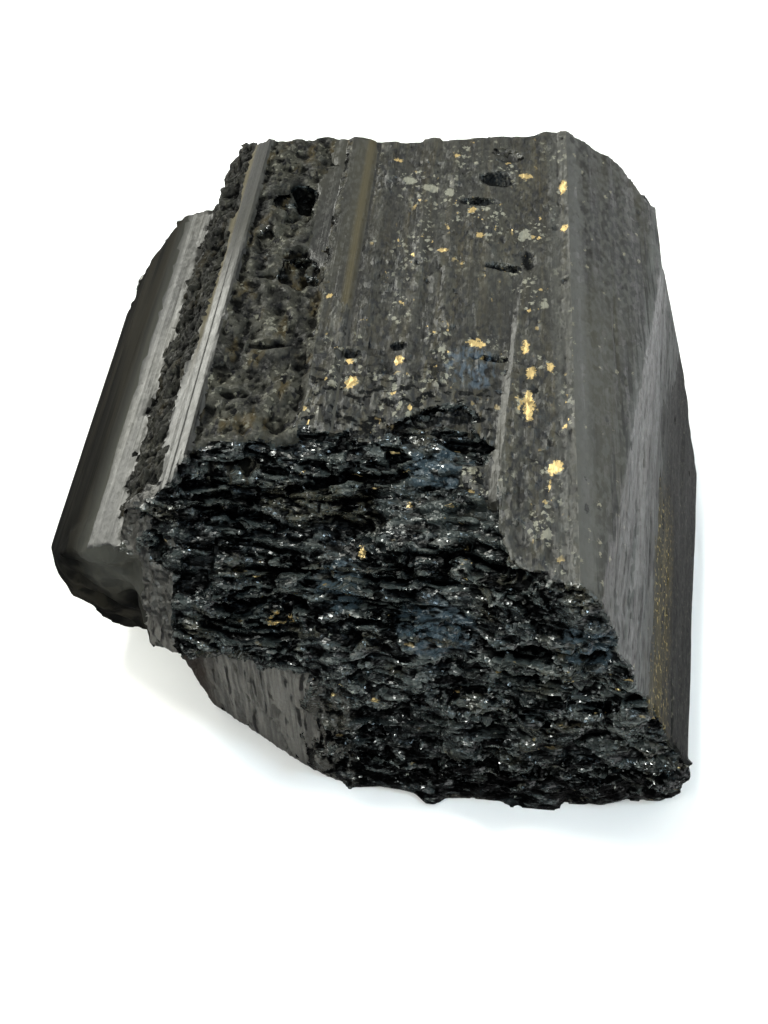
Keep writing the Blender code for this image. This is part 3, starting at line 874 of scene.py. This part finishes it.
def top_material(groups, finish):
    """The top: fine grit and dust over the lines, with pale specks and flakes of gold."""
    material, tree, shader = new_material("schorl_gritty_top")
    height, streak = line_height(tree, groups, (0.24, 24.0, 0.24), 3.0, 6.0)
    fine = use(tree, groups, "grain", {"Size": (0.17, 0.5, 0.2), "Lean": 0.34})
    coarse = use(tree, groups, "grain", {"Size": (0.34, 0.95, 0.42), "Lean": 0.44})
    x, y, z = axes(tree)
    crusty = noise_mask(tree, 0.2, 0.38, 0.6, (0.8, 1.6, 1.0))
    near = zone(tree, groups, y, -40.0, -1.0, 6.0)
    crusty = maths(tree, "MAXIMUM", crusty, near)
    tilt = scaled(tree, coarse["Tilt"], crusty)
    lines = zone(tree, groups, height, 0.52, 2.0, 0.1)
    dust = both(tree, noise_mask(tree, 0.3, 0.3, 0.66, (0.5, 3.2, 0.8)), ranged(tree, pepper(tree, 1.9, 0.4, 0.62), 0.3, 1.0))
    colour = mixed(tree, dust, (0.014, 0.014, 0.013, 1.0), (*finish.dust, 1.0))
    olive = noise_mask(tree, 0.34, 0.46, 0.64, (0.3, 5.0, 0.8))
    colour = mixed(tree, both(tree, olive, ranged(tree, lines, 0.25, 0.8)), colour, (0.075, 0.058, 0.022, 1.0))
    drab = noise_mask(tree, 0.42, 0.5, 0.6, (0.45, 3.4, 0.8), 4.0)
    colour = mixed(tree, both(tree, drab, 0.75), colour, (0.016, 0.014, 0.008, 1.0))
    dark = both(tree, pepper(tree, 1.3, 0.505, 0.575), ranged(tree, crusty, 0.35, 1.0))
    colour = mixed(tree, dark, colour, (0.003, 0.004, 0.006, 1.0))
    worn = zone(tree, groups, x, 13.0, 16.0, 0.8)
    colour = mixed(tree, both(tree, worn, 0.5), colour, (0.09, 0.09, 0.082, 1.0))
    ragged = ragged_place(tree)
    patch = noise_mask(tree, 0.34, 0.5, 0.64, (1.0, 1.8, 1.0))
    crest, deep = painted_crest_light_and_hollow_shade(tree, groups)
    # Painted shade: the hollows of the relief darkened to near-black. Painted highlight: its crests made lighter grey.
    colour = mixed(tree, both(tree, deep, 0.9), colour, (0.002, 0.002, 0.0025, 1.0))
    colour = mixed(tree, both(tree, crest, 0.3), colour, (0.1, 0.1, 0.085, 1.0))
    patch = maths(tree, "MAXIMUM", patch, flakes(tree, groups, ragged, CHALKY_PLACES))
    small = use(tree, groups, "specks", {"Spacing": 0.44, "Size": 0.17, "Share": 0.62, "Stretch": 1.3})["Mask"]
    large = use(tree, groups, "specks", {"Spacing": 1.05, "Size": 0.3, "Share": 0.3, "Stretch": 1.2})["Mask"]
    pale = both(tree, maths(tree, "MAXIMUM", small, large), ranged(tree, patch, 0.06, 1.0))
    # The chips and a ragged rim at the front of the top are painted near-black and, through Metallic, without sheen:
    # partly their fresh dark stone, partly painted shade.
    chips = [((*middle, 28.5), (*size, 1.5), 0) for middle, size, _deep in CHIPS]
    rim = both(tree, zone(tree, groups, y, -40.0, -2.0, 7.0), zone(tree, groups, x, -8.0, 9.4, 1.0))
    rim = both(tree, rim, pepper(tree, 1.0, 0.54, 0.59, (1.2, 0.8, 1.0)))
    chipped_and_shaded = maths(tree, "MAXIMUM", flakes(tree, groups, ragged, chips), rim)
    colour = mixed(tree, chipped_and_shaded, colour, (0.002, 0.003, 0.004, 1.0))
    chalk = maths(tree, "MAXIMUM", pale, flakes(tree, groups, ragged, TOP_CHALK))
    colour = mixed(tree, both(tree, chalk, 0.8), colour, (0.35, 0.34, 0.27, 1.0))
    grains_of_gold = both(tree, pepper(tree, 0.95, 0.655, 0.69, (0.7, 1.2, 0.7)), patch)
    gold = maths(tree, "MAXIMUM", grains_of_gold, flakes(tree, groups, ragged, TOP_FLAKES))
    colour = mixed(tree, gold, colour, (*finish.gold, 1.0))
    # Painted bluish sheen on two of the listed patches.
    painted_blue_sheen = both(tree, flakes(tree, groups, ragged, PAINTED_SHEEN_PATCHES[-2:]), pepper(tree, 1.4, 0.44, 0.6))
    colour = mixed(tree, both(tree, painted_blue_sheen, 0.7), colour, (0.075, 0.11, 0.15, 1.0))
    link_all(tree, shader, {
        "Base Color": colour,
        "Metallic": maths(tree, "MAXIMUM", both(tree, gold, 0.8), both(tree, chipped_and_shaded, 0.8)),
        "Roughness": maths(tree, "ADD", ranged(tree, streak, 0.3, 0.55), both(tree, drab, 0.12)),
        "Normal": bumped(tree, height, 0.14, leaning_normal(tree, (fine["Tilt"], tilt))),
    })
    return material


def outer_material(groups, finish):
    """The weathered side of the narrow crystal: brownish, duller, softly streaked."""
    material, tree, shader = new_material("schorl_weathered_side")
    height, streak = line_height(tree, groups, (0.5, 30.0, 0.5), 3.0, 8.0)
    x, y, z = axes(tree)
    brown = noise_mask(tree, 0.25, 0.35, 0.65, (0.8, 8.0, 0.8))
    colour = mixed(tree, brown, (0.007, 0.007, 0.0065, 1.0), (0.021, 0.019, 0.0145, 1.0))
    dark = noise_mask(tree, 0.5, 0.46, 0.6, (0.6, 14.0, 0.6))
    colour = mixed(tree, both(tree, dark, 0.8), colour, (0.004, 0.004, 0.004, 1.0))
    border = both(tree, zone(tree, groups, x, -23.9, -10.0, 1.6), zone(tree, groups, z, 14.0, 40.0, 5.0))
    border = both(tree, border, ranged(tree, streak, 0.2, 1.0))
    colour = mixed(tree, both(tree, border, 0.6), colour, (0.13, 0.13, 0.115, 1.0))
    link_all(tree, shader, {
        "Base Color": colour,
        "Roughness": ranged(tree, streak, 0.62, 0.82),
        "Normal": bumped(tree, height, 0.1),
    })
    shader.inputs["IOR"].default_value = 1.1
    return material


def break_material(groups, finish):
    """The broken ends: fresh black grains that glint, greyer on some ledges where light is painted, with painted
    glints, painted shade in the hollows and a few flakes.
    """
    material, tree, shader = new_material("schorl_fresh_break")
    coarse = use(tree, groups, "grain", {"Size": (1.1, 0.45, 0.32), "Lean": 0.58})
    fine = use(tree, groups, "grain", {"Size": (0.27, 0.18, 0.13), "Lean": 0.52})
    x, y, z = axes(tree)
    crest, deep = painted_crest_light_and_hollow_shade(tree, groups)
    ragged = ragged_place(tree)
    colour = mixed(tree, coarse["Draw"], (0.003, 0.0038, 0.0044, 1.0), (0.012, 0.017, 0.019, 1.0))
    lighter = noise_mask(tree, 0.22, 0.46, 0.62, (2.0, 1.0, 0.7))
    # Painted light: on the terrace the grains are greyer and the crests lighter, and it is kept clear of the painted
    # shade.
    terrace_light = flakes(tree, groups, ragged, PAINTED_LIGHT_TERRACE)
    lighter = maths(tree, "MAXIMUM", lighter, terrace_light)
    grey = maths(tree, "GREATER_THAN", coarse["Draw"], maths(tree, "SUBTRACT", 0.84, both(tree, lighter, 0.5)))
    colour = mixed(tree, both(tree, grey, 0.8), colour, (0.046, 0.056, 0.055, 1.0))
    # Painted highlight: the crests made lighter grey, most where the grains are lighter.
    crest = both(tree, crest, ranged(tree, fine["Draw"], 0.0, 0.9))
    colour = mixed(tree, both(tree, crest, ranged(tree, lighter, 0.5, 1.0)), colour, (0.15, 0.165, 0.155, 1.0))
    olive = both(tree, noise_mask(tree, 0.3, 0.52, 0.66, (1.6, 1.0, 0.8)), fine["Draw"])
    colour = mixed(tree, olive, colour, (0.07, 0.064, 0.042, 1.0))
    # What is kept clear of the painted shade that darkens the hollows and the shaded grains
    # Painted bluish sheen on the listed patches.
    painted_blue_sheen = both(tree, flakes(tree, groups, ragged, PAINTED_SHEEN_PATCHES), pepper(tree, 1.2, 0.42, 0.58, (1.4, 0.8, 0.7)))
    splinters = both(tree, zone(tree, groups, x, -5.0, -0.2, 1.2), zone(tree, groups, z, -5.0, 15.0, 1.5))
    splinters = both(tree, splinters, zone(tree, groups, y, -40.0, -18.0, 2.0))
    splinters = both(tree, splinters, noise_mask(tree, 0.8, 0.46, 0.56, (0.6, 0.6, 3.0)))
    weathered = both(tree, zone(tree, groups, x, -40.0, -14.2, 1.5), noise_mask(tree, 0.5, 0.3, 0.6))
    weathered = both(tree, weathered, zone(tree, groups, z, -5.0, 23.5, 2.0))
    weathered = both(tree, weathered, zone(tree, groups, y, -40.0, -8.0, 2.0))
    # Painted glints: pale specks scattered over the break.
    painted_glints = use(tree, groups, "specks", {"Spacing": 0.62, "Size": 0.1, "Share": 0.09, "Stretch": 0.7})["Mask"]
    gold = both(tree, pepper(tree, 0.85, 0.68, 0.71, (1.4, 0.8, 0.6)), lighter)
    gold = maths(tree, "MAXIMUM", gold, flakes(tree, groups, ragged, BREAK_FLAKES))
    over = maths(tree, "MAXIMUM", maths(tree, "MAXIMUM", painted_blue_sheen, splinters), maths(tree, "MAXIMUM", weathered, gold))
    over = maths(tree, "MAXIMUM", maths(tree, "MAXIMUM", over, painted_glints), both(tree, terrace_light, 0.65))
    # Painted shade: the hollows, grains standing for facets turned from the light, and more patches low on the break,
    # painted near-black and, through Metallic, without sheen.
    black = maths(tree, "MAXIMUM", deep, pepper(tree, 0.62, 0.53, 0.6, (1.7, 0.9, 0.6)))
    foot = both(tree, zone(tree, groups, z, -5.0, 13.0, 6.0), pepper(tree, 0.8, 0.44, 0.52, (1.4, 0.9, 0.7)))
    black = maths(tree, "MAXIMUM", black, foot)
    black = both(tree, black, maths(tree, "SUBTRACT", 1.0, over))
    colour = mixed(tree, black, colour, (0.001, 0.0014, 0.0017, 1.0))
    colour = mixed(tree, both(tree, painted_blue_sheen, 0.85), colour, (0.05, 0.078, 0.1, 1.0))
    colour = mixed(tree, splinters, colour, (0.075, 0.072, 0.064, 1.0))
    colour = mixed(tree, weathered, colour, (0.05, 0.05, 0.044, 1.0))
    colour = mixed(tree, painted_glints, colour, (0.32, 0.34, 0.3, 1.0))
    colour = mixed(tree, gold, colour, (*finish.gold, 1.0))
    link_all(tree, shader, {
        "Base Color": colour,
        "Metallic": maths(tree, "MAXIMUM", both(tree, gold, 0.8), both(tree, black, 0.9)),
        "Roughness": maths(tree, "ADD", ranged(tree, fine["Draw"], 0.12, 0.32), both(tree, deep, 0.2)),
        "Normal": leaning_normal(tree, (coarse["Tilt"], fine["Tilt"])),
    })
    return material


def growth_material(groups, finish):
    """The rough growth along the top and the groove."""
    material, tree, shader = new_material("schorl_rough_growth")
    coarse = use(tree, groups, "grain", {"Size": (0.55, 0.65, 0.4), "Lean": 0.5})
    fine = use(tree, groups, "grain", {"Size": (0.22, 0.26, 0.2), "Lean": 0.5})
    x, y, z = axes(tree)
    dust = noise_mask(tree, 0.35, 0.35, 0.65, (0.8, 1.4, 1.0))
    colour = mixed(tree, dust, (0.012, 0.012, 0.011, 1.0), (0.06, 0.058, 0.045, 1.0))
    brown = noise_mask(tree, 0.4, 0.54, 0.7, (0.6, 1.6, 0.6))
    colour = mixed(tree, brown, colour, (0.06, 0.045, 0.02, 1.0))
    colour = mixed(tree, pepper(tree, 1.1, 0.54, 0.62), colour, (0.003, 0.003, 0.004, 1.0))
    pale = both(tree, pepper(tree, 1.6, 0.59, 0.64, (0.8, 1.0, 0.8)), dust)
    colour = mixed(tree, both(tree, pale, 0.8), colour, (0.26, 0.25, 0.2, 1.0))
    # Painted highlight on the crests and painted shade in the hollows, the hollows near-black and, through Metallic,
    # without sheen.
    crest, deep = painted_crest_light_and_hollow_shade(tree, groups)
    colour = mixed(tree, both(tree, crest, 0.5), colour, (0.09, 0.088, 0.076, 1.0))
    # Painted shade: the groove between the crystals is darkened.
    groove = zone(tree, groups, x, -40.0, -15.5, 0.3)
    colour = mixed(tree, both(tree, groove, 0.7), colour, (0.004, 0.004, 0.003, 1.0))
    colour = mixed(tree, both(tree, deep, 0.85), colour, (0.001, 0.0012, 0.0014, 1.0))
    roughness = maths(tree, "ADD", ranged(tree, fine["Draw"], 0.36, 0.72), both(tree, groove, 0.2))
    link_all(tree, shader, {
        "Base Color": colour,
        "Metallic": both(tree, deep, 0.7),
        "Roughness": maths(tree, "ADD", roughness, both(tree, deep, 0.3)),
        "Normal": leaning_normal(tree, (coarse["Tilt"], fine["Tilt"])),
    })
    shader.inputs["IOR"].default_value = 1.25
    shader.inputs["Specular IOR Level"].default_value = 0.6
    return material


def recess_material(groups, finish):
    """The smooth faces under and beside the overhang, with upright lines."""
    material, tree, shader = new_material("schorl_recessed_face")
    height, streak = line_height(tree, groups, (0.26, 0.26, 12.0), 3.2, 4.0)
    grain = use(tree, groups, "grain", {"Size": (0.2, 0.2, 0.3), "Lean": 0.2})
    stripes = noise_mask(tree, 2.0, 0.36, 0.64, (0.7, 0.7, 14.0), 3.0)
    colour = mixed(tree, stripes, (0.07, 0.066, 0.058, 1.0), (0.155, 0.147, 0.131, 1.0))
    dark = noise_mask(tree, 0.8, 0.62, 0.67, (0.45, 0.45, 3.0), 1.0)
    colour = mixed(tree, both(tree, dark, 0.9), colour, (0.006, 0.005, 0.005, 1.0))
    x, y, z = axes(tree)
    brown = zone(tree, groups, x, -40.0, -13.2, 1.6)
    colour = mixed(tree, both(tree, brown, zone(tree, groups, z, -5.0, 14.0, 1.0)), colour, (0.035, 0.024, 0.016, 1.0))
    flank = zone(tree, groups, z, 16.0, 40.0, 3.0)
    colour = mixed(tree, both(tree, flank, 0.45), colour, (0.02, 0.02, 0.018, 1.0))
    torn = both(tree, pepper(tree, 0.9, 0.5, 0.58, (0.8, 0.8, 0.3)), flank)
    colour = mixed(tree, both(tree, torn, 0.8), colour, (0.004, 0.004, 0.004, 1.0))
    link_all(tree, shader, {
        "Base Color": colour,
        "Roughness": ranged(tree, streak, 0.4, 0.62),
        "Normal": bumped(tree, height, 0.25, leaning_normal(tree, (grain["Tilt"],))),
    })
    return material


# ---------------------------------------------------------------- stage


# Soft lights: the way to each, how far off it is, its size, its brightness and its colour
LIGHTS = {
    "back_panel": ((0.12, 0.57, 0.82), 0.6, (0.56, 0.9), 0.37, (1.0, 1.0, 0.89)),
    "left_window": ((-0.70, 0.64, 0.30), 0.5, (0.27, 0.6), 3.6, (1.0, 1.0, 0.91)),
    "right_panel": ((0.7, 0.5, 0.45), 0.6, (0.45, 0.4), 0.64, (0.95, 1.0, 0.97)),
    "front_panel": ((-0.1, -0.62, 0.78), 0.8, (0.5, 0.4), 1.25, (0.88, 1.0, 0.96)),
    "top_lamp": ((-0.3, 0.1, 1.0), 1.0, (0.16, 0.12), 42.0, (0.98, 1.0, 0.93)),
    "front_lamp": ((-0.35, -0.4, 0.85), 1.0, (0.1, 0.08), 70.0, (0.98, 1.0, 0.95)),
    "cool_lamp": ((0.5, -0.2, 0.8), 1.0, (0.12, 0.12), 32.0, (0.66, 0.86, 1.0)),
}


def surroundings(scene):
    """Dim above, a little lighter below, and bright low on the right."""
    world = bpy.data.worlds.new("studio")
    scene.world = world
    world.use_nodes = True
    tree = world.node_tree
    way = node(tree, "ShaderNodeTexCoord").outputs["Generated"]
    x, y, z = node(tree, "ShaderNodeSeparateXYZ", {0: way}).outputs
    low = node(tree, "ShaderNodeMapRange", {0: z, 1: 0.05, 2: -0.1, 3: 0.06, 4: 0.07}).outputs[0]
    right = node(tree, "ShaderNodeMapRange", {0: x, 1: 0.2, 2: 0.5}, interpolation_type="SMOOTHSTEP").outputs[0]
    near = node(tree, "ShaderNodeMapRange", {0: z, 1: -0.62, 2: -0.42}, interpolation_type="SMOOTHSTEP").outputs[0]
    under = maths(tree, "LESS_THAN", z, 0.0)
    glow = maths(tree, "MULTIPLY", maths(tree, "MULTIPLY", right, near), under)
    strength = maths(tree, "ADD", low, maths(tree, "MULTIPLY", glow, 1.25))
    seen = node(tree, "ShaderNodeLightPath").outputs["Is Camera Ray"]
    strength = maths(tree, "MAXIMUM", strength, seen)
    tree.links.new(strength, tree.nodes["Background"].inputs["Strength"])
    tree.nodes["Background"].inputs["Color"].default_value = (1.0, 1.0, 1.0, 1.0)


def floor_light(floor):
    """A wide soft light from above that falls on the floor alone."""
    light = area_light("floor_light", (0.0, -0.25, 1.0), 1.4, (1.6, 1.6), 1.5, (1.0, 1.0, 1.0))
    only = bpy.data.collections.new("floor_only")
    only.objects.link(floor)
    light.light_linking.receiver_collection = only


def area_light(name, towards, distance, size, radiance, colour=(1.0, 1.0, 1.0)):
    """A soft light that shines at the stone from the direction `towards`."""
    data = bpy.data.lights.new(name, "AREA")
    data.shape = "RECTANGLE"
    data.size, data.size_y = size
    data.energy = radiance * 4.0 * size[0] * size[1]
    data.color = colour
    light = bpy.data.objects.new(name, data)
    bpy.context.scene.collection.objects.link(light)
    way = Vector(towards).normalized()
    aim = Vector((0.0, 0.0, 0.012))
    light.matrix_world = Matrix.Translation(aim + way * distance) @ way.to_track_quat("Z", "Y").to_matrix().to_4x4()
    light.visible_camera = False
    return light


class SchorlStone(bpy.types.PropertyGroup):
    fineness: bpy.props.FloatProperty(
        name="Fineness", description="Size of the finest relief", default=0.25 * MM, min=0.1 * MM, unit="LENGTH"
    )
    most_triangles: bpy.props.IntProperty(
        name="Most triangles", description="Where the mesh stops being thinned", default=196000
    )
    crease: bpy.props.FloatProperty(
        name="Crease", description="Sharpest turn that is still shaded as a curve", default=radians(24.0),
        subtype="ANGLE",
    )


class SchorlFinish(bpy.types.PropertyGroup):
    stone: bpy.props.FloatVectorProperty(
        name="Stone", description="Colour of the clean stone", default=(0.012, 0.012, 0.012), subtype="COLOR"
    )
    film: bpy.props.FloatVectorProperty(
        name="Film", description="Colour of the thin film on the sides", default=(0.035, 0.033, 0.022),
        subtype="COLOR",
    )
    dust: bpy.props.FloatVectorProperty(
        name="Dust", description="Colour of the dust on the top", default=(0.050, 0.050, 0.040), subtype="COLOR"
    )
    gold: bpy.props.FloatVectorProperty(
        name="Gold", description="Colour of the flakes", default=(0.80, 0.60, 0.28), subtype="COLOR"
    )


class SchorlStage(bpy.types.PropertyGroup):
    floor: bpy.props.FloatVectorProperty(
        name="Floor", description="Colour of the floor", default=(0.86, 0.86, 0.85), subtype="COLOR"
    )
    eye: bpy.props.FloatVectorProperty(
        name="Eye", description="Place of the camera", default=(0.00575, -0.0743, 0.0905), unit="LENGTH"
    )
    down: bpy.props.FloatProperty(
        name="Down", description="How far the camera looks down", default=radians(49.496), subtype="ANGLE"
    )
    left: bpy.props.FloatProperty(
        name="Left", description="How far the camera looks left", default=radians(4.927), subtype="ANGLE"
    )
    lens: bpy.props.FloatProperty(name="Lens", description="Focal length in millimetres", default=40.0)


class SCHORL_OT_chunk(bpy.types.Operator):
    """Make the chunk of black tourmaline"""

    bl_idname = "schorl.chunk"
    bl_label = "Tourmaline chunk"

    def execute(self, context):
        scene = context.scene
        groups = {
            "lines": lines_group(),
            "grain": grain_group(),
            "specks": speck_group(),
            "flake": fleck_group(),
            "zone": zone_group(),
            "relief": painted_light_and_shade_group(),
        }
        finish = scene.schorl_finish
        breaks = break_material(groups, finish)
        by_kind = {
            SIDE: side_material(groups, finish),
            TOP: top_material(groups, finish),
            OUTER: outer_material(groups, finish),
            DULL: dull_material(groups, finish),
            BREAK: breaks,
            GROWTH: growth_material(groups, finish),
            RECESS: recess_material(groups, finish),
            BASE: breaks,
        }
        stone = crystal_object(scene.schorl_stone, by_kind)
        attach(stone, "root")
        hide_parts(NODE)
        return {"FINISHED"}


class SCHORL_OT_stage(bpy.types.Operator):
    """Make the floor, the lights and the camera"""

    bl_idname = "schorl.stage"
    bl_label = "Stage"

    def execute(self, context):
        scene = context.scene
        stage = scene.schorl_stage
        maker = bmesh.new()
        bmesh.ops.create_grid(maker, x_segments=1, y_segments=1, size=0.55)
        mesh = bpy.data.meshes.new("floor")
        maker.to_mesh(mesh)
        maker.free()
        floor = bpy.data.objects.new("floor", mesh)
        scene.collection.objects.link(floor)
        material = bpy.data.materials.new("pale_floor")
        material.use_nodes = True
        shader = material.node_tree.nodes["Principled BSDF"]
        shader.inputs["Base Color"].default_value = (*stage.floor, 1.0)
        shader.inputs["Roughness"].default_value = 0.9
        shader.inputs["Specular IOR Level"].default_value = 0.0
        mesh.materials.append(material)

        floor.visible_glossy = False
        surroundings(scene)
        for name, (towards, distance, size, radiance, colour) in LIGHTS.items():
            area_light(name, towards, distance, size, radiance, colour)
        floor_light(floor)

        eye = bpy.data.cameras.new("eye")
        eye.lens = stage.lens
        eye.sensor_fit = "VERTICAL"
        eye.sensor_height = 36.0
        eye.clip_start = 0.001
        camera = bpy.data.objects.new("eye", eye)
        scene.collection.objects.link(camera)
        s, c = sin(stage.left), cos(stage.left)
        st, ct = sin(stage.down), cos(stage.down)
        right = Vector((c, s, 0.0))
        up = Vector((-s * st, c * st, ct))
        back = Vector((s * ct, -c * ct, st))
        turn = Matrix((right, up, back)).transposed().to_4x4()
        camera.matrix_world = Matrix.Translation(Vector(stage.eye)) @ turn
        scene.camera = camera
        scene.view_settings.view_transform = "Standard"
        return {"FINISHED"}


class SCHORL_PT_panel(bpy.types.Panel):
    """The chunk and its stage"""

    bl_idname = "SCHORL_PT_panel"
    bl_label = "Black tourmaline"
    bl_space_type = "VIEW_3D"
    bl_region_type = "UI"
    bl_category = "Schorl"

    def draw(self, context):
        layout = self.layout
        for operator, group in (
            ("schorl.chunk", context.scene.schorl_stone),
            (None, context.scene.schorl_finish),
            ("schorl.stage", context.scene.schorl_stage),
        ):
            box = layout.box()
            if operator:
                box.operator(operator)
            for name in group.__annotations__:
                box.prop(group, name)


GROUPS = {
    "schorl_stone": SchorlStone,
    "schorl_finish": SchorlFinish,
    "schorl_stage": SchorlStage,
}
CLASSES = (*GROUPS.values(), SCHORL_OT_chunk, SCHORL_OT_stage, SCHORL_PT_panel)


def register():
    for one in CLASSES:
        bpy.utils.register_class(one)
    for name, group in GROUPS.items():
        setattr(bpy.types.Scene, name, bpy.props.PointerProperty(type=group))


def unregister():
    for name in GROUPS:
        delattr(bpy.types.Scene, name)
    for one in reversed(CLASSES):
        bpy.utils.unregister_class(one)


def main():
    register()
    for made in (bpy.ops.schorl.stage, bpy.ops.schorl.chunk):
        made()


if __name__ == "__main__":
    main()
